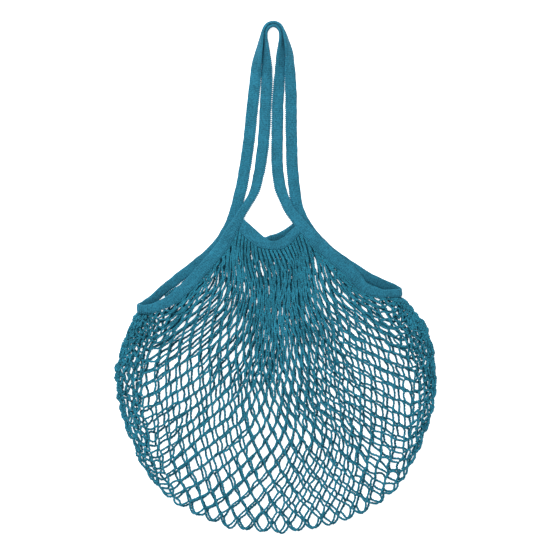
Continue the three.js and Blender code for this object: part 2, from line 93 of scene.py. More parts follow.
# Rows of the tape: middle x and y, lean out of the plane, lift onto the front (0 to 1),
# the way across to the sewn edge, both angles in degrees, and the share of the full width.
FRONT_HANDLE = [
    (-57.1, 55.4, 0, 1, 326, 1), (-48.7, 69.2, 0, 0.86, 328, 0.85), (-42.9, 79.5, 0, 0.66, 328, 0.75),
    (-36.4, 90, 0, 0.46, 328, 0.72), (-30.4, 100.3, 0, 0.26, 331, 0.75),
    (-26.2, 109.8, 0, 0.1, 336, 0.85), (-21.7, 128.5, 0, 0, 346, 0.92), (-18.4, 148.5, 0, 0, 350, 1),
    (-16.1, 168.5, 0, 0, 353, 1), (-14.4, 188.5, 0, 0, 356, 1), (-13.6, 208.5, 0, 0, 358, 1),
    (-12.6, 226, 4, 0, 360, 1), (-11.9, 238.5, 9, 0, 360, 1), (-11.5, 253.5, 14, 0, 359, 1),
    (-12.1, 268.5, 31, 0, 360, 1), (-12.8, 279.8, 46, 0, 360, 1), (-13.4, 289.8, 60, 0, 362, 1),
    (-13.4, 299.2, 78, 0, 364, 1), (-12.1, 307.3, 88, 0, 360, 1), (-8.5, 312.4, 90, 0, 360, 1),
    (-3.6, 314.4, 90, 0, 360, 1), (1.2, 312.6, 90, 0, 360, 1), (5, 307.3, 92, 0, 360, 1),
    (6.6, 299.2, 106, 0, 360, 1), (6.9, 289.8, 126, 0, 360, 1), (6.1, 279.8, 139, 0, 358, 1),
    (5.5, 268.5, 148, 0, 359, 1), (4.4, 253.5, 156, 0, 358, 1), (3.3, 238.5, 162, 0, 358, 1),
    (2.4, 226, 174, 0, 360, 1), (1.8, 208.5, 180, 0, 360, 1), (1.5, 188.5, 180, 0, 360, 1),
    (1.1, 168.5, 180, 0, 360, 1), (1.1, 148.5, 180, 0, 361, 1), (2.3, 128.5, 180, 0, 366, 1),
    (5.6, 109.8, 180, 0.1, 374, 1), (9.6, 98.5, 180, 0.3, 382, 0.9), (14.8, 87.3, 180, 0.5, 390, 0.9),
    (21.1, 77.5, 180, 0.7, 396, 0.92), (28.6, 68, 180, 0.88, 400, 1), (36.1, 59.7, 180, 1, 402, 1),
]
RIGHT_BAND = [
    (36.1, 59.7, 0, 1, 222, 1), (48.6, 46.4, 0, 1, 224, 1), (64.2, 31, 0, 1, 226, 1),
    (78.3, 18.7, 0, 1, 227, 1), (88.6, 10.2, 0, 1, 224, 1), (96.1, 3, 0, 1, 219, 1),
    (102.3, -4.7, 0, 1, 223, 1), (109.3, -12, 0, 1, 232, 0.9), (116.7, -16.5, 0, 1, 244, 0.8),
    (128.2, -19.7, 0, 1, 258, 0.72), (138.6, -20.7, 0, 1, 268, 0.68), (149.6, -20.5, 0, 1, 271, 0.7),
    (153.8, -20, 0, 0.854, 272, 0.7), (155.6, -19.2, 0, 0.5, 272, 0.72),
    (153.8, -18, 0, 0.146, 271, 0.75), (149.6, -16.3, -20, 0, 262, 0.85), (140.4, -12.2, -36, 0, 252, 1),
    (128.8, -7.3, -36, 0, 245, 1.05), (116.1, -1.6, -26, 0, 241, 1), (103.6, 5.7, -12, 0, 237, 1),
    (89.1, 15.3, 0, 0, 236, 1), (75.6, 24.5, 0, 0, 233, 1), (61.7, 35.8, 0, 0, 228, 1),
    (51.1, 46.5, 0, 0, 226, 1), (42.3, 57, 0, 0, 225, 1),
]
REAR_HANDLE = [
    (42.3, 57, 180, 0, 405, 1), (34.8, 68.5, 180, 0, 396, 1), (29.2, 79.8, 180, 0, 384, 1),
    (25.3, 92.3, 180, 0, 372, 1), (23.1, 108.5, 180, 0, 367, 1), (20.9, 128.5, 180, 0, 364, 1),
    (19.7, 148.5, 180, 0, 362, 1), (19.2, 168.5, 180, 0, 361, 1), (18.8, 188.5, 180, 0, 360, 1),
    (18.8, 208.5, 180, 0, 360, 1), (18.6, 226, 180, 0, 360, 1), (18.1, 238.5, 174, 0, 360, 1),
    (17.6, 253.5, 155, 0, 360, 1), (17, 268.5, 138, 0, 360, 1), (16.5, 279.8, 126, 0, 360, 1),
    (14.3, 289.8, 116, 0, 360, 1), (11.8, 299.2, 104, 0, 360, 1), (8.9, 308.2, 92, 0, 360, 1),
    (4.3, 315.2, 90, 0, 360, 1), (-3.3, 318, 90, 0, 360, 1), (-11, 315.5, 90, 0, 360, 1),
    (-15.8, 308.5, 88, 0, 360, 1), (-18, 299.2, 78, 0, 360, 1), (-19.9, 289.8, 66, 0, 356, 1),
    (-22, 279.8, 55, 0, 356, 1), (-23.9, 268.5, 37, 0, 356, 1), (-25.5, 253.5, 14, 0, 357, 1),
    (-26.9, 238.5, 4, 0, 357, 1), (-28.3, 226, 0, 0, 356, 1), (-30.2, 208.5, 0, 0, 355, 1),
    (-32.2, 188.5, 0, 0, 354, 1), (-34.4, 168.5, 0, 0, 353, 1), (-37.2, 148.5, 0, 0, 352, 1),
    (-40.4, 128.5, 0, 0, 350, 1), (-44.4, 108.5, 0, 0, 348, 1), (-48.4, 92.3, 0, 0, 345, 1),
    (-51.4, 81, 0, 0, 342, 1), (-55.7, 68.5, 0, 0, 336, 1), (-62.7, 54.8, 0, 0, 330, 1),
]
LEFT_BAND = [
    (-62.7, 54.8, 0, 0, 330, 1), (-70.4, 42.9, 0, 0, 322, 1), (-82.7, 29.3, 0, 0, 314, 1),
    (-102.4, 12.9, 0, 0, 310, 1), (-119, 1, -8, 0, 308, 0.9), (-141.6, -16.9, -26, 0, 302, 0.9),
    (-156.9, -30.2, -38, 0, 290, 0.95), (-166.2, -36, -22, 0, 278, 0.8),
    (-170.6, -38.1, 0, 0.146, 273, 0.78), (-172.3, -39.2, 0, 0.5, 272, 0.78),
    (-170.6, -40.2, 0, 0.854, 272, 0.78), (-166.2, -40.5, 0, 1, 273, 0.78),
    (-159.6, -40.2, 0, 1, 279, 0.78), (-148.3, -37.2, 0, 1, 288, 0.85), (-134.9, -31, 0, 1, 298, 0.95),
    (-122.9, -22.2, 0, 1, 306, 1), (-111.4, -11.8, 0, 1, 312, 1), (-90.8, 10.4, 0, 1, 316, 1),
    (-78.3, 24.8, 0, 1, 318, 1), (-66.2, 40.2, 0, 1, 323, 1), (-57.1, 55.4, 0, 1, 326, 1),
]

# Rows of a centre band: a point of its upper edge and one of its sewn lower edge.
FRONT_CENTRE = [
    ((-36.8, 68.7), (-43.7, 54.4)),
    ((-30.8, 63.2), (-37.7, 48.7)),
    ((-23.9, 57.3), (-30.8, 43.2)),
    ((-15.2, 49.8), (-20.2, 36.5)),
    ((-4.2, 44.5), (-6.4, 34.2)),
    ((3.6, 46.4), (4.8, 34)),
    ((10.4, 50.4), (14.8, 38.8)),
    ((16.1, 55.7), (21.7, 45.3)),
    ((22.6, 62.4), (29.9, 53.7)),
]
REAR_CENTRE = [
    ((-47.1, 67.8), (-53.9, 53.3)),
    ((-37.7, 61.3), (-43.2, 46.5)),
    ((-25.2, 54.3), (-27.7, 38.5)),
    ((-14.6, 49.8), (-13.9, 34.5)),
    ((-5.8, 52.3), (-3.3, 37)),
    ((6.1, 56.7), (11.7, 42.3)),
    ((16.1, 63.3), (22.9, 49.8)),
    ((24.4, 70), (32.7, 56.7)),
]

# The outline of the net, from the left ear round the bottom to the right one.
OUTLINE = [
    (-170.8, -46), (-178.9, -56.5), (-185.2, -67.7), (-192.7, -91.5), (-197.9, -114), (-199.7, -134),
    (-197.3, -154), (-192.7, -171.5), (-185.2, -194), (-175.2, -217.7), (-162.7, -241.5),
    (-150.2, -261.5), (-140.2, -270.8), (-121.4, -285.2), (-97.7, -298.3), (-80.2, -305.2),
    (-63.9, -312.1), (-31.4, -317.1), (-7.7, -319), (13.6, -319.7), (34.8, -317.7), (57.3, -313.3),
    (78.6, -306.5), (91.1, -302.1), (112.3, -294), (124.8, -286.5), (138.6, -276.5), (149.8, -264),
    (161.1, -249), (172.3, -230.2), (179.8, -214), (185.4, -196.5), (192.3, -176.5), (196.7, -157.7),
    (199.7, -134), (198.3, -109), (193.6, -86.5), (187.3, -69), (178.6, -54), (167.3, -39),
    (156.8, -27.5),
]


# Small helpers


def smoothstep(value, low, high):
    share = np.clip((np.asarray(value, float) - low) / (high - low), 0.0, 1.0)
    return share * share * (3.0 - 2.0 * share)


def unit(vectors):
    length = np.linalg.norm(vectors, axis=-1, keepdims=True)
    return vectors / np.maximum(length, 1e-9)


def wobble(x, y, size, seed):
    """A smooth field from -1 to 1 that varies over about the given size."""
    rng = np.random.default_rng(seed)
    total = np.zeros(np.broadcast(x, y).shape)
    weight = 0.0
    for octave in range(7):
        angle = rng.uniform(0.0, 2.0 * math.pi)
        phase = rng.uniform(0.0, 2.0 * math.pi)
        wave = size * rng.uniform(0.55, 1.5)
        share = rng.uniform(0.6, 1.0)
        run = (np.cos(angle) * x + np.sin(angle) * y) * 2.0 * math.pi / wave
        total = total + share * np.sin(run + phase)
        weight += share
    return total / (0.5 * weight)


def spline(points, steps, closed=False):
    """A centripetal curve through the points, sampled at the given places along the row numbers."""
    points = np.asarray(points, float)
    count = len(points)
    steps = np.asarray(steps, float)
    if closed:
        low = np.floor(steps).astype(int)
        share = (steps - low)[:, None]
        index = [(low + k) % count for k in (-1, 0, 1, 2)]
        corners = [points[i] for i in index]
    else:
        low = np.clip(np.floor(steps).astype(int), 0, count - 2)
        share = (steps - low)[:, None]
        padded = np.vstack([2 * points[0] - points[1], points, 2 * points[-1] - points[-2]])
        corners = [padded[low + k] for k in (0, 1, 2, 3)]
    p0, p1, p2, p3 = corners
    pairs = ((p0, p1), (p1, p2), (p2, p3))
    d0, d1, d2 = [np.maximum(np.sqrt(np.linalg.norm(b - a, axis=1))[:, None], 1e-4) for a, b in pairs]
    t1 = ((p1 - p0) / d0 - (p2 - p0) / (d0 + d1) + (p2 - p1) / d1) * d1
    t2 = ((p2 - p1) / d1 - (p3 - p1) / (d1 + d2) + (p3 - p2) / d2) * d1
    s2 = share * share
    s3 = s2 * share
    return p1 + t1 * share + (-3 * p1 + 3 * p2 - 2 * t1 - t2) * s2 + (2 * p1 - 2 * p2 + t1 + t2) * s3


def hermite(t, start, leave, end, arrive):
    """A curve from start to end that leaves and arrives along the given tangents."""
    return (
        (2 * t**3 - 3 * t**2 + 1) * start + (t**3 - 2 * t**2 + t) * leave
        + (-2 * t**3 + 3 * t**2) * end + (t**3 - t**2) * arrive
    )


def length_so_far(line):
    """Length of a polyline up to each of its points."""
    return np.concatenate([[0.0], np.cumsum(np.linalg.norm(np.diff(line, axis=0), axis=1))])


def along_line(line, shares):
    """Points at shares of a polyline's length."""
    line = np.asarray(line, float)
    runs = length_so_far(line)
    want = np.asarray(shares, float) * runs[-1]
    return np.stack([np.interp(want, runs, line[:, k]) for k in range(line.shape[1])], axis=1)


def mesh_object(name, points, quads, uv):
    """A smooth mesh from points in millimetres, with a UV for each corner."""
    mesh = bpy.data.meshes.new(name)
    points = np.asarray(points, np.float32) * MM
    quads = [tuple(int(i) for i in q) for q in quads]
    mesh.from_pydata([tuple(p) for p in points], [], quads)
    mesh.polygons.foreach_set("use_smooth", np.ones(len(mesh.polygons), bool))
    layer = mesh.uv_layers.new(name="UVMap")
    layer.data.foreach_set("uv", np.asarray(uv, np.float32).ravel())
    mesh.validate()
    mesh.update()
    made = bpy.data.objects.new(name, mesh)
    scene.collection.objects.link(made)
    return made


def skin(rings, lengths, around, closed):
    """Quads and UVs for a stack of rings: rings x sides x 3. Lengths run along, around runs across."""
    count, sides = rings.shape[:2]
    last = count if closed else count - 1
    i = np.repeat(np.arange(last), sides)
    j = np.tile(np.arange(sides), last)
    a = i * sides + j
    b = i * sides + (j + 1) % sides
    up = ((i + 1) % count) * sides
    quads = np.stack([a, b, up + (j + 1) % sides, up + j], axis=1)
    corners = ((i, j), (i, j + 1), (i + 1, j + 1), (i + 1, j))
    uv = np.stack([np.stack([lengths[u], around[v]], 1) for u, v in corners], 1)
    return rings.reshape(-1, 3), quads, uv


# Materials


def knit_material(name, colour, pitch, course, flecks, relief, contrast=0.5):
    """Knitted cotton: chevron stitches from the UV, mottled colour and a soft sheen. The stitch relief is
    also painted into the colour: painted shade in its grooves and painted highlight on its loops.

    Pitch and course are the width and length of a stitch, relief the depth of its bumps.
    """
    material = bpy.data.materials.new(name)
    material.use_nodes = True
    tree = material.node_tree
    nodes = tree.nodes
    links = tree.links
    nodes.clear()

    def add(kind, **values):
        node = nodes.new(kind)
        for key, value in values.items():
            setattr(node, key, value)
        return node

    def maths(operation, first, second=None):
        node = add("ShaderNodeMath", operation=operation)
        for slot, value in enumerate((first, second)):
            if value is None:
                continue
            if isinstance(value, (int, float)):
                node.inputs[slot].default_value = value
            else:
                links.new(value, node.inputs[slot])
        return node.outputs[0]

    out = add("ShaderNodeOutputMaterial")
    shader = add("ShaderNodeBsdfPrincipled")
    links.new(shader.outputs[0], out.inputs[0])
    shader.inputs["Roughness"].default_value = 0.88
    shader.inputs["Specular IOR Level"].default_value = 0.12
    shader.inputs["Sheen Weight"].default_value = 0.06
    shader.inputs["Sheen Roughness"].default_value = 0.45
    shader.inputs["Sheen Tint"].default_value = (0.55, 0.8, 0.9, 1.0)

    uv = add("ShaderNodeUVMap", uv_map="UVMap")
    split = add("ShaderNodeSeparateXYZ")
    links.new(uv.outputs[0], split.inputs[0])
    along = split.outputs[0]
    across = split.outputs[1]
    column = maths("FRACT", maths("DIVIDE", across, pitch))
    slant = maths("ABSOLUTE", maths("SUBTRACT", column, 0.5))
    phase = maths("ADD", maths("DIVIDE", along, course), maths("MULTIPLY", slant, 1.1))
    loops = maths("SINE", maths("MULTIPLY", phase, 2.0 * math.pi))
    ribs = maths("SINE", maths("MULTIPLY", column, math.pi))
    stitches = maths("MULTIPLY", maths("ADD", maths("MULTIPLY", loops, 0.35), 0.65), ribs)
    rows = maths("SINE", maths("MULTIPLY", maths("DIVIDE", along, STITCH_PITCH), 2.0 * math.pi))
    stitches = maths("ADD", stitches, maths("MULTIPLY", rows, 0.16))

    place = add("ShaderNodeTexCoord")
    fine = add("ShaderNodeTexNoise")
    fine.inputs["Scale"].default_value = 620.0
    fine.inputs["Detail"].default_value = 3.0
    links.new(place.outputs["Object"], fine.inputs["Vector"])
    broad = add("ShaderNodeTexNoise")
    broad.inputs["Scale"].default_value = 55.0
    broad.inputs["Detail"].default_value = 2.0
    links.new(place.outputs["Object"], broad.inputs["Vector"])

    specks = maths("MULTIPLY", fine.outputs["Fac"], flecks)
    patches = maths("MULTIPLY", broad.outputs["Fac"], 0.3)
    mottle_and_stitch_shade = maths("ADD", specks, patches)
    # Painted shade and highlight: the stitch relief, which also drives the bump, darkens the colour in the
    # grooves and lightens it on the loop tops
    mottle_and_stitch_shade = maths("ADD", mottle_and_stitch_shade, maths("MULTIPLY", stitches, 0.3))
    ramp = add("ShaderNodeValToRGB")
    links.new(mottle_and_stitch_shade, ramp.inputs[0])
    ramp.color_ramp.elements[0].position = 0.5
    ramp.color_ramp.elements[1].position = 0.98
    dark = [c * (1.0 - contrast) for c in colour]
    light = [c * (1.0 + contrast) for c in colour]
    ramp.color_ramp.elements[0].color = (*dark, 1.0)
    ramp.color_ramp.elements[1].color = (*light, 1.0)
    links.new(ramp.outputs[0], shader.inputs["Base Color"])

    height = maths("ADD", stitches, maths("MULTIPLY", fine.outputs["Fac"], 0.8))
    bump = add("ShaderNodeBump")
    bump.inputs["Strength"].default_value = 0.7
    bump.inputs["Distance"].default_value = relief * MM
    links.new(height, bump.inputs["Height"])
    links.new(bump.outputs[0], shader.inputs["Normal"])
    return material


# Both knits carry painted stitch shade and highlight in their colour; the net's wider contrast strengthens
# its random mottle and its painted stitch shade together
tape_cloth = knit_material("tape_knit", (0.0225, 0.173, 0.263), 1.3, 1.15, 0.9, 0.5)
net_cotton = knit_material("net_knit", (0.0195, 0.18, 0.264), 0.6, 1.4, 1.0, 0.5, 0.82)
thread = knit_material("sewing_thread", (0.017, 0.13, 0.205), 0.5, 0.7, 0.5, 0.12)


# The tape: one loop of folded knitted tape


def rest_height(lean, wide):
    """Height of the tape's middle where its lowest edge touches the surface."""
    tip = math.radians(lean)
    side = abs(math.sin(tip)) * TAPE_WIDTH * wide / 2.0
    return side + abs(math.cos(tip)) * TAPE_THICKNESS / 2.0


def tape_rows():
    """The four tables as one loop: middle, way to the sewn edge, width and lift of every row."""
    rows = []
    for table in (FRONT_HANDLE, RIGHT_BAND, REAR_HANDLE, LEFT_BAND):
        for x, y, lean, lift, across, wide in table[:-1]:
            turn = math.radians(across)
            tip = math.radians(lean)
            sewn = (math.cos(tip) * math.cos(turn), math.cos(tip) * math.sin(turn), math.sin(tip))
            rows.append((x, y, rest_height(lean, wide) + lift * FRONT_LIFT, *sewn, TAPE_WIDTH * wide, lift))
    return np.array(rows)


def tape_stations(step):
    """Even stations along the loop, each with its directions, width, lift, length and row number."""
    rows = tape_rows()
    count = len(rows)
    fine = np.arange(0, count, 1.0 / 60.0)
    middles = spline(rows[:, :3], fine, closed=True)
    closed = np.vstack([middles, middles[:1]])
    runs = length_so_far(closed)
    total = runs[-1]
    stations = int(round(total / step))
    want = np.arange(stations) * total / stations
    places = np.interp(want, runs, np.append(fine, float(count)))
    middle = spline(rows[:, :3], places, closed=True)
    along = unit(np.roll(middle, -2, axis=0) - np.roll(middle, 2, axis=0))
    low = np.floor(places).astype(int) % count
    share = (places - np.floor(places))[:, None]
    share = share * share * (3.0 - 2.0 * share) * 0.5 + share * 0.5
    mixed = rows[low] * (1.0 - share) + rows[(low + 1) % count] * share
    sewn = mixed[:, 3:6]
    for _ in range(6):
        sewn = (np.roll(sewn, 1, axis=0) + 2.0 * sewn + np.roll(sewn, -1, axis=0)) / 4.0
    sewn = unit(sewn - along * np.sum(sewn * along, axis=1, keepdims=True))
    face = unit(np.cross(along, sewn))
    return {
        "middle": middle, "along": along, "sewn": sewn, "face": face,
        "width": mixed[:, 6], "lift": mixed[:, 7], "length": want, "place": places, "total": total,
    }


# Places across the tape, from its folded edge at -1 to its sewn edge at 1
ACROSS = np.array([
    -1.0, -0.985, -0.94, -0.84, -0.66, -0.42, -0.16, 0.1,
    0.34, 0.52, 0.6, 0.68, 0.76, 0.86, 0.95, 1.0,
])


def half_thickness(across, pucker):
    """How thick the folded tape is on either side of its middle plane."""
    fold = np.sqrt(np.clip(1.0 - np.abs(np.minimum(across, 0.0)) ** 5, 0.0, 1.0))
    hem = np.sqrt(np.clip(1.0 - np.maximum(across, 0.0) ** 9, 0.0, 1.0))
    body = TAPE_THICKNESS / 2.0 * fold * hem * (1.0 - 0.30 * smoothstep(across, 0.62, 0.95))
    groove = 0.55 * np.exp(-(((across - STITCH_ROW) / 0.055) ** 2)) * pucker
    return np.maximum(body - groove, 0.22)


def band_rings(stations, wave_seed):
    """Rings of the folded tape's section, with its scalloped sewn edge and a few soft waves."""
    length = stations["length"][:, None]
    across = ACROSS[None, :]
    pucker = 0.72 + 0.28 * np.cos(2.0 * math.pi * length / STITCH_PITCH)
    half = half_thickness(across, pucker) * (1.0 + 0.07 * wobble(length, across * 9.0, 21.0, wave_seed))
    on_edge = np.hypot(stations["face"][:, 0], stations["face"][:, 1])[:, None]
    half = half * (1.0 + 0.24 * smoothstep(on_edge, 0.3, 0.9))
    width = stations["width"][:, None] / 2.0
    scallop = 1.3 * np.abs(np.cos(math.pi * length / STITCH_PITCH)) - 0.75
    side = across * width + scallop * smoothstep(across, 0.8, 1.0)
    rim = smoothstep(np.abs(across), 0.6, 1.0)
    side = side + 0.22 * wobble(length, across * 0.0, 16.0, wave_seed + 1) * rim
    order_up = np.arange(len(ACROSS))
    order_down = order_up[::-1][1:-1]
    sides = np.concatenate([side[:, order_up], side[:, order_down]], axis=1)
    heights = np.concatenate([half[:, order_up], -half[:, order_down]], axis=1)
    heights[:, 0] = 0.0
    heights[:, len(ACROSS) - 1] = 0.0
    rings = stations["middle"][:, None, :] + sides[..., None] * stations["sewn"][:, None, :]
    rings = rings + heights[..., None] * stations["face"][:, None, :]
    lowest = rings[..., 2].min(axis=1)
    rings[..., 2] += np.maximum(LEAST_HEIGHT - lowest, 0.0)[:, None]
    flat = np.concatenate([ACROSS[order_up], 2.0 - ACROSS[order_down], [3.0]])
    return rings, flat * TAPE_WIDTH / 2.0


tape = tape_stations(TAPE_STEP)
rings, flat = band_rings(tape, 3)
lengths = np.append(tape["length"], tape["total"])
points, quads, uv = skin(rings, lengths, flat, True)
tape_loop = mesh_object("tape_loop", points, quads, uv)
tape_loop.data.materials.append(tape_cloth)
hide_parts("front_handle", "rear_handle", "left_side_band", "right_side_band")
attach(tape_loop, "root")


# The centre bands


def centre_stations(rows, height, tuck, tilt):
    """Stations along a centre band. Its ends are tucked under the tape that is sewn over them.

    The tilt, in degrees, raises the upper edge of the band's middle part.
    """
    rows = np.asarray(rows, float)
    before = rows[0] + (rows[0] - rows[1]) * 0.9
    after = rows[-1] + (rows[-1] - rows[-2]) * 0.9
    rows = np.concatenate([before[None], rows, after[None]])
    fine = np.linspace(0, len(rows) - 1, 400)
    top = spline(rows[:, 0], fine)
    low = spline(rows[:, 1], fine)
    middle = (top + low) / 2.0
    runs = length_so_far(middle)
    count = int(runs[-1] / TAPE_STEP)
    want = np.linspace(0.0, runs[-1], count)
    fine = np.interp(want, runs, fine)
    top = spline(rows[:, 0], fine)
    low = spline(rows[:, 1], fine)
    from_end = np.minimum(want, runs[-1] - want)
    drop = tuck * (1.0 - smoothstep(from_end, 1.0, 9.0))
    width = np.linalg.norm(low - top, axis=1)
    tip = math.radians(tilt) * smoothstep(from_end, 4.0, 26.0)
    flat = (low - top) / width[:, None] * np.cos(tip)[:, None]
    lift = np.sin(tip) * width / 2.0
    middle = np.column_stack([top + flat * width[:, None] / 2.0, height + lift - drop])
    sewn = np.column_stack([flat, -np.sin(tip)])
    along = unit(np.gradient(middle, axis=0))
    sewn = unit(sewn - along * np.sum(sewn * along, axis=1, keepdims=True))
    face = unit(np.cross(along, sewn))
    return {"middle": middle, "along": along, "sewn": sewn, "face": face, "width": width, "length": want}


def centre_band(name, rows, height, tuck, tilt, node, seed):
    """The mesh of a centre band, closed at both ends. Its stations are returned."""
    stations = centre_stations(rows, height, tuck, tilt)
    rings, across = band_rings(stations, seed)
    lengths = np.append(stations["length"], stations["length"][-1])
    points, quads, uv = skin(rings, lengths, across, False)
    sides = rings.shape[1]
    first = list(range(sides))[::-1]
    last = [(len(rings) - 1) * sides + k for k in range(sides)]
    half = sides // 2
    caps = []
    for ring in (first, last):
        for k in range(half - 1):
            caps.append((ring[k], ring[k + 1], ring[-2 - k], ring[-1 - k]))
    quads = [tuple(q) for q in quads] + caps
    uv = np.concatenate([uv, np.zeros((len(caps), 4, 2))])
    band = mesh_object(name, points, quads, uv)
    band.data.materials.append(tape_cloth)
    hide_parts(node)
    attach(band, "root")
    return stations


front_centre = centre_band(
    "front_mouth_band", FRONT_CENTRE, FRONT_LIFT + TAPE_THICKNESS / 2.0,
    FRONT_TUCK, 0.0, "front_centre_band", 11,
)
rear_centre = centre_band(
    "rear_mouth_band", REAR_CENTRE, TAPE_THICKNESS / 2.0,
    0.0, REAR_TILT, "rear_centre_band", 17,
)


# Stitches along the sewn edge


# One stitch: places along it and its radius there
STITCH_PROFILE = ((-0.85, 0.1), (-0.55, 0.3), (0.55, 0.3), (0.85, 0.1))


def stitch_row(name, groups):
    """Small thread stitches on both faces of the tape, joined in one mesh."""
    points = []
    quads = []
    uvs = []
    for stations in groups:
        run = stations["length"]
        places = np.arange(0.5 * STITCH_PITCH, run[-1], STITCH_PITCH)
        for face in (1.0, -1.0):
            index = np.clip(np.searchsorted(run, places), 1, len(run) - 2)
            middle = stations["middle"][index]
            along = stations["along"][index]
            sewn = stations["sewn"][index]
            normal = stations["face"][index] * face
            lift = half_thickness(np.array([STITCH_ROW]), 0.8)[0] + 0.12
            centre = middle + sewn * (STITCH_ROW * stations["width"][index, None] / 2.0) + normal * lift
            for k in range(len(places)):
                slant = unit(along[k] + 0.18 * sewn[k] * face)
                base = len(points)
                for reach, radius in STITCH_PROFILE:
                    spot = centre[k] + slant * reach - normal[k] * (0.25 if abs(reach) > 0.7 else 0.0)
                    for corner in range(4):
                        angle = math.pi / 4.0 + corner * math.pi / 2.0
                        outward = math.cos(angle) * sewn[k] + math.sin(angle) * normal[k]
                        points.append(spot + radius * outward)
                for step in range(3):
                    for corner in range(4):
                        a = base + step * 4 + corner
                        b = base + step * 4 + (corner + 1) % 4
                        quads.append((a, b, b + 4, a + 4))
                        here = [(step, corner), (step, corner + 1)]
                        uvs.append(here + [(step + 1, corner + 1), (step + 1, corner)])
                quads.append((base + 3, base + 2, base + 1, base))
                quads.append((base + 12, base + 13, base + 14, base + 15))
                uvs.extend([[(0, 0)] * 4] * 2)
    made = mesh_object(name, np.array(points), quads, np.array(uvs, float) * 0.4)
    made.data.materials.append(thread)
    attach(made, "root")


stitch_row("edge_stitches", (tape, front_centre, rear_centre))


# The net


def tape_edge(first, last, raised):
    """Plan points on the sewn edge of the tape between two row numbers."""
    place = tape["place"]
    chosen = (place >= first) & (place <= last)
    chosen &= (tape["lift"] > 0.999) if raised else (tape["lift"] < 0.001)
    spots = tape["middle"] + tape["sewn"] * (tape["width"][:, None] / 2.0)
    return spots[chosen][:, :2]


# Row numbers at which the four tables start in the loop
counts = [len(table) - 1 for table in (FRONT_HANDLE, RIGHT_BAND, REAR_HANDLE, LEFT_BAND)]
starts = np.concatenate([[0], np.cumsum(counts)])


def sewn_lines(raised):
    """Plan points of the lines that one layer is sewn to: left side, middle and right side."""
    left = tape_edge(starts[3], starts[4], raised)
    right = tape_edge(starts[1], starts[2], raised)
    centre = front_centre if raised else rear_centre
    low = (centre["middle"] + centre["sewn"] * (centre["width"][:, None] / 2.0))[:, :2]
    left = left[np.argsort(-left[:, 0])]
    right = right[np.argsort(right[:, 0])]
    left = np.vstack([left, OUTLINE[0]])
    right = np.vstack([right, OUTLINE[-1]])
    return left, low, right


def spread(line, count, closeness):
    """Points along a line, spaced by a closeness given for shares of its length."""
    fine = np.linspace(0.0, 1.0, 600)
    weight = np.interp(fine, *closeness)
    total = np.concatenate([[0.0], np.cumsum((weight[1:] + weight[:-1]) / 2.0)])
    return along_line(line, np.interp(np.linspace(0.0, total[-1], count), total, fine))


def smoothed(points, passes):
    """A polyline with its corners rounded, its ends kept."""
    for _ in range(passes):
        points[1:-1] = (points[:-2] + 2.0 * points[1:-1] + points[2:]) / 4.0
    return points


def run_shares(length, squeeze, most):
    """How far along its way each row of a column lies: even steps, then close together at the outline."""
    step = np.linspace(1.13, 0.87, ROWS)
    down = np.concatenate([[0.0], np.cumsum(step)]) / step.sum() * LONG_RUN
    if length >= LONG_RUN - 12.0:
        return down / LONG_RUN
    packed = min(squeeze * (LONG_RUN - length) + 9.0, most * length)
    free = length - packed
    share = np.clip((down - free) / (LONG_RUN - free), 0.0, 1.0)
    return np.where(down < free, down, length - packed * (1.0 - share) ** 1.35) / length


def column_lines(raised, rng):
    """The way of every column of one layer, from the mouth to the outline, as plan polylines."""
    left, low, right = sewn_lines(raised)
    reach_left = along_line(left, np.linspace(0.0, REACH, 12))[::-1]
    reach_right = along_line(right, np.linspace(0.0, REACH, 12))
    tops = spread(np.vstack([reach_left, low, reach_right]), COLUMNS + 1, EVEN)
    outline = smoothed(spread(OUTLINE, 400, EVEN), 4)
    ends = spread(outline, COLUMNS + 1, SEAM_CLOSENESS)
    if not raised:
        tops = tops + 0.5 * np.gradient(tops, axis=0)
        ends = smoothed(ends + 0.42 * np.gradient(ends, axis=0), 1)
    normal = np.gradient(ends, axis=0)
    normal = unit(np.stack([normal[:, 1], -normal[:, 0]], axis=1))
    ends = ends + normal * rng.normal(0.0, SEAM_JITTER, COLUMNS + 1)[:, None]
    side = np.linspace(-1.0, 1.0, COLUMNS + 1)
    t = np.linspace(0.0, 1.0, 80)[:, None]
    lines = []
    for m in range(COLUMNS + 1):
        gap = ends[m] - tops[m]
        length = np.linalg.norm(gap)
        out = gap / length
        middle = 1.0 - smoothstep(np.abs(side[m]), 0.1, 0.55)
        beside = smoothstep(np.abs(side[m]), 0.5, 0.8)
        turn = 0.12 + 0.6 * middle + 0.45 * beside
        aim = np.array([1.2 * side[m] + 0.55 * middle, -1.0])
        leave = unit((1.0 - turn) * out + turn * aim) * (1.0 + 0.55 * middle)
        arrive = unit(0.62 * out + 0.38 * normal[m])
        lines.append(hermite(t, tops[m], leave * length, ends[m], arrive * length))

    # The outermost columns follow the sewn edge of the tape
    edge_left = along_line(left, np.linspace(REACH, 1.0, 80))
    edge_right = along_line(right, np.linspace(REACH, 1.0, 80))
    for edge, outermost, inwards in ((edge_left, 0, 1), (edge_right, COLUMNS, -1)):
        shift = edge - lines[outermost]
        for k in range(EDGE_COLUMNS):
            m = outermost + k * inwards
            lines[m] = lines[m] + shift * (1.0 - k / EDGE_COLUMNS) ** 1.4
    return lines


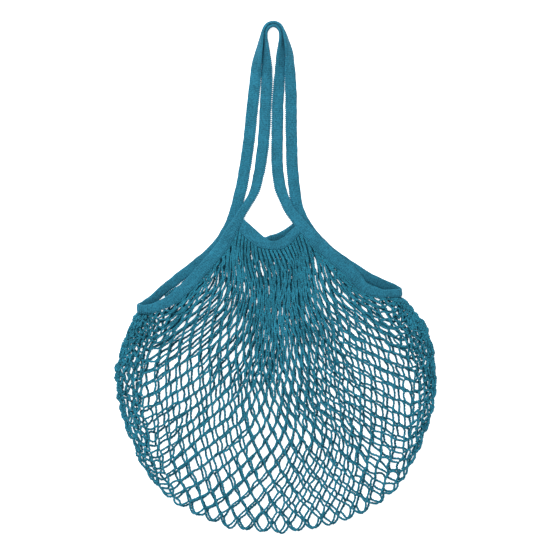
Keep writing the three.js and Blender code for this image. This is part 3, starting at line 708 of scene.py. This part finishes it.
def place_rows(lines):
    """Joints along the columns, rows by columns, closer together where the net is gathered."""
    grid = np.zeros((ROWS + 1, COLUMNS + 1, 2))
    for m, line in enumerate(lines):
        on_left = m < COLUMNS / 2
        squeeze = 0.36 if on_left else 0.26
        most = (0.26 if on_left else 0.18) + 0.22 * smoothstep(min(m, COLUMNS - m), 0.0, 8.0)
        grid[:, m] = along_line(line, run_shares(length_so_far(line)[-1], squeeze, most))
    places = np.array(ROW_CLOSENESS[0])
    for row in range(1, ROWS):
        share = smoothstep(row, 0.5, 5.0) * (1.0 - smoothstep(row, 12.5, 20.0))
        weights = np.array(ROW_CLOSENESS[1])
        weights[[0, 1, 2, -3, -2, -1]] *= 0.7 + 0.3 * smoothstep(row, 2.0, 9.0)
        weights *= 1.0 + 0.45 * (1.0 - smoothstep(row, 3.0, 10.0)) * (places - 0.5)
        grid[row] += share * (spread(grid[row], COLUMNS + 1, (places, weights)) - grid[row])
    return grid


def relaxed(start):
    """The joints after the cords that are too long have been drawn in. The outermost joints stay."""
    j = np.arange(ROWS + 1)[:, None]
    m = np.arange(COLUMNS + 1)[None, :]
    used = (j + m) % 2 == 0
    free = ((m > 0) & (m < COLUMNS) & (j > 0) & (j < ROWS))[..., None].astype(float)
    now = start.copy()
    for _ in range(RELAX_STEPS):
        push = np.zeros_like(now)
        for step in (-1, 1):
            above = slice(None, -1) if step > 0 else slice(1, None)
            below = slice(1, None) if step > 0 else slice(None, -1)
            gap = now[1:, below] - now[:-1, above]
            run = np.maximum(np.linalg.norm(gap, axis=-1, keepdims=True), 1e-6)
            excess = np.maximum(run - CORD_EDGE, 0.0) + 0.2 * np.minimum(run - 0.45 * CORD_EDGE, 0.0)
            move = 0.5 * gap / run * excess * used[:-1, above][..., None]
            push[:-1, above] += move
            push[1:, below] -= move
        now = now + 0.5 * push * free + 0.02 * (start - now) * free
    return now


def lattice(raised, seed):
    """Plan places of the joints of one layer, rows by columns. The columns fan out from the mouth."""
    rng = np.random.default_rng(seed)
    grid = place_rows(column_lines(raised, rng))
    j = np.arange(ROWS + 1)[:, None]
    m = np.arange(COLUMNS + 1)[None, :]
    x, y = grid[..., 0], grid[..., 1]
    from_side = smoothstep(np.minimum(m, COLUMNS - m), 0.0, 4.0)
    inside = from_side * smoothstep(j, 0.0, 4.0) * smoothstep(ROWS - j, 0.0, 3.0)
    loose = 0.5 + 1.3 * smoothstep(np.abs(m - COLUMNS / 2.0), 16.0, 28.0) * smoothstep(j, 6.0, 14.0)
    lean = -1.0 if raised else 1.0
    shift = np.stack([
        2.3 * lean * np.tanh(x / 45.0) + 1.5 * wobble(x, y, 130.0, seed + 1)
        + loose * (1.2 * wobble(x, y, 34.0, seed + 2) + rng.normal(0.0, 0.45, x.shape)),
        -1.4 * lean + 1.2 * wobble(x, y, 120.0, seed + 3)
        + loose * (1.2 * wobble(x, y, 30.0, seed + 4) + rng.normal(0.0, 0.45, x.shape)),
    ], axis=-1)
    return relaxed(grid + shift * inside[..., None])


def layer_height(m, j, raised, x, y, seed):
    """Height of a cord's middle: low where the layers meet, level inside the bag."""
    rim = spread(OUTLINE, 200, EVEN)
    gap = np.hypot(x[..., None] - rim[:, 0], y[..., None] - rim[:, 1]).min(axis=-1)
    to_side = np.minimum(m, COLUMNS - m) + 0.0 * j
    on_tape = (1.0 - smoothstep(to_side, 0.0, 4.0)) * (1.0 - smoothstep(j, 18.0, 23.0))
    near_mouth = np.maximum(1.0 - smoothstep(j, 0.0, 3.0), on_tape)
    inner = np.maximum(smoothstep(gap, 0.0, 16.0), on_tape * smoothstep(ROWS - j, 0.0, 2.0))
    ripple = wobble(x, y, 42.0, seed + 5)
    if raised:
        level = 11.2 + 0.9 * near_mouth + 0.45 * ripple
        return 3.9 + (level - 3.9) * inner
    level = 1.75 + 0.35 * (ripple + 1.0)
    return 2.4 + (level - 2.4) * inner


def gathered(column, row):
    """How tightly the net is gathered, from 0 to 1: most under the centre band, some below the ears."""
    side = np.minimum(column, COLUMNS - column)
    ear = 0.5 * (1.0 - smoothstep(side, 7.0, 12.0)) * smoothstep(row, 6.0, 12.0)
    return np.maximum(0.5 * smoothstep(side, 8.0, 18.0) * (1.0 - smoothstep(row, 1.0, 6.0)), ear)


def strand(joint, tangent, rng):
    """The middle line of one strand through its joints, with some slack between them."""
    chord = np.diff(joint, axis=0)
    run = np.linalg.norm(chord, axis=1)
    samples = np.arange(CORD_SAMPLES) / CORD_SAMPLES
    t = samples[:, None]
    line = []
    for j in range(ROWS):
        lengthwise = abs(np.dot(chord[j], tangent[j]))
        pull0 = 0.08 * run[j] + 0.34 * lengthwise
        pull1 = 0.08 * run[j] + 0.34 * abs(np.dot(chord[j], tangent[j + 1]))
        if j == ROWS - 1:
            pull0 = 0.6 * run[j] * lengthwise / max(run[j], 1e-6)
            pull1 = run[j]
        curve = hermite(t, joint[j], tangent[j] * pull0, joint[j + 1], tangent[j + 1] * pull1)
        slack = math.sqrt(max(0.0, 0.375 * (CORD_EDGE**2 - run[j] ** 2)))
        bow = min(0.4 * slack, 0.5 + 0.3 * lengthwise) * np.clip(rng.normal(0.15, 0.55), -1.1, 1.1)
        sway = min(0.2 * slack, 0.9) * rng.uniform(-1.0, 1.0)
        across = np.array([-chord[j, 1], chord[j, 0], 0.0]) / max(run[j], 1e-6)
        curve = curve + across * (bow * np.sin(math.pi * t) ** 2 + sway * np.sin(2.0 * math.pi * t))
        curve[:, 2] += rng.uniform(-0.35, 0.45) * np.sin(math.pi * samples)
        line.append(curve)
    line.append(joint[-1][None])
    return np.concatenate(line)


def net_directions(spots):
    """The way across and the way down the net at every joint, and the room beside the joint."""
    wide = np.zeros_like(spots)
    wide[:, 1:-1] = spots[:, 2:] - spots[:, :-2]
    wide[:, 0] = spots[:, 1] - spots[:, 0]
    wide[:, -1] = spots[:, -1] - spots[:, -2]
    room = np.clip(np.linalg.norm(wide, axis=-1) / 2.0, 0.0, 4.0)
    down = np.zeros_like(spots)
    down[1:-1] = spots[2:] - spots[:-2]
    down[0] = spots[1] - spots[0]
    down[-1] = spots[-1] - spots[-2]
    level = np.zeros((*room.shape, 1))
    wide = np.concatenate([unit(wide), level], axis=-1)
    down = np.concatenate([unit(down), level], axis=-1)
    return wide, down, room


def net_layer(name, node, raised, seed):
    """One layer of the net: a strand for every wale, joined to its neighbours in turn."""
    spots = lattice(raised, seed)
    m_grid = np.arange(COLUMNS + 1)[None, :]
    j_grid = np.arange(ROWS + 1)[:, None]
    heights = layer_height(m_grid, j_grid, raised, spots[..., 0], spots[..., 1], seed)
    joints = np.concatenate([spots, heights[..., None]], axis=-1)
    wide, down, room = net_directions(spots)
    rng = np.random.default_rng(seed + 9)
    rows = np.arange(ROWS + 1)
    apart = np.where(rows < ROWS, JOINT_OFFSET, -0.5)
    upper = smoothstep(rows, 0.0, 2.0) * (1.0 - smoothstep(rows, 3.0, 9.0))
    pairing = (1.0 - smoothstep(rows, 1.0, 5.0)) * (0.22 if raised else 0.0)
    angle = np.arange(CORD_SIDES) * 2.0 * math.pi / CORD_SIDES
    around = np.arange(CORD_SIDES + 1) / CORD_SIDES * 2.0 * math.pi * CORD_RADIUS

    all_points = []
    all_quads = []
    all_uv = []
    base = 0
    for wale in range(COLUMNS):
        columns = wale + (wale + rows) % 2
        side = np.where(columns == wale, 1.0, -1.0)
        joint = joints[rows, columns] + wide[rows, columns] * (side * apart)[:, None]
        joint[0] -= down[0, columns[0]] * 1.5
        toward = (1.0 if wale % 2 == 0 else -1.0) * pairing
        toward = toward + 0.26 * rng.normal(0.0, 1.0, ROWS + 1) * upper
        joint = joint + wide[rows, columns] * (toward * room[rows, columns])[:, None]
        tangent = down[rows, columns].copy()
        tangent[-1] = -wide[ROWS, columns[-1]] * side[-1]
        line = strand(joint, tangent, rng)

        # A cord of plied yarn: its section swells and shifts from one sample to the next
        twist = (-1.0) ** np.arange(len(line))
        along = unit(np.gradient(line, axis=0))
        sideways = unit(np.cross(np.array([0.0, 0.0, 1.0])[None], along))
        upward = np.cross(along, sideways)
        line = line + sideways * (0.14 * twist)[:, None]
        radius = CORD_RADIUS * (1.0 + 0.09 * twist + 0.05 * rng.normal(0.0, 1.0, len(line)))
        row = np.arange(len(line)) / CORD_SAMPLES
        radius = radius * (1.0 + (-0.25 if raised else 0.6) * gathered(wale + 0.5, row))
        outward = np.cos(angle)[None, :, None] * sideways[:, None]
        outward = outward + np.sin(angle)[None, :, None] * upward[:, None]
        ring = line[:, None] + radius[:, None, None] * outward
        ring[..., 2] = np.maximum(ring[..., 2], LEAST_HEIGHT)
        lengths = length_so_far(line)
        lengths = np.append(lengths, lengths[-1])
        points, quads, uv = skin(ring, lengths, around, False)
        all_points.append(points)
        all_quads.append(quads + base)
        all_uv.append(uv)
        base += len(points)
    made = mesh_object(name, np.concatenate(all_points), np.concatenate(all_quads), np.concatenate(all_uv))
    made.data.materials.append(net_cotton)
    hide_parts(node)
    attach(made, "root")


net_layer("net_rear_layer", "rear_net", False, 41)
net_layer("net_front_layer", "front_net", True, 67)


# Floor, light and camera

floor_mesh = bpy.data.meshes.new("floor")
corners = [(x * FLOOR_REACH, y * FLOOR_REACH, -FLOOR_DROP) for x, y in ((-1, -1), (1, -1), (1, 1), (-1, 1))]
floor_mesh.from_pydata(corners, [], [(0, 1, 2, 3)])
floor = bpy.data.objects.new("floor", floor_mesh)
scene.collection.objects.link(floor)
paper = bpy.data.materials.new("floor_paper")
paper.use_nodes = True
paper_shader = paper.node_tree.nodes["Principled BSDF"]
paper_shader.inputs["Base Color"].default_value = (0.93, 0.93, 0.93, 1.0)
paper_shader.inputs["Roughness"].default_value = 0.9
paper_shader.inputs["Emission Color"].default_value = (1.0, 1.0, 1.0, 1.0)
paper_shader.inputs["Emission Strength"].default_value = 0.8
floor_mesh.materials.append(paper)

world = bpy.data.worlds.new("studio")
scene.world = world
world.use_nodes = True
background = world.node_tree.nodes["Background"]
background.inputs["Color"].default_value = (1.0, 1.0, 1.0, 1.0)
background.inputs["Strength"].default_value = 0.42


def soft_light(name, place, size, power):
    """A square light that faces the bag's middle."""
    lamp = bpy.data.lights.new(name, "AREA")
    lamp.shape = "SQUARE"
    lamp.size = size
    lamp.energy = power
    made = bpy.data.objects.new(name, lamp)
    made.location = place
    made.rotation_euler = Vector([-c for c in place]).to_track_quat("-Z", "Y").to_euler()
    scene.collection.objects.link(made)


soft_light("key", (-0.45, 0.65, 1.6), 0.9, 28.0)
soft_light("fill", (1.3, -0.6, 1.7), 1.6, 4.0)

camera_data = bpy.data.cameras.new("camera")
camera_data.lens = FOCAL
camera_data.sensor_width = SENSOR
camera_data.clip_end = 20.0
camera = bpy.data.objects.new("camera", camera_data)
distance = FIELD * FOCAL / SENSOR
camera.location = (FIELD_MIDDLE[0] * MM, FIELD_MIDDLE[1] * MM, (distance + MIDDLE_HEIGHT) * MM)
camera.rotation_euler = (0.0, 0.0, 0.0)
scene.collection.objects.link(camera)
scene.camera = camera
scene.view_settings.view_transform = "Standard"
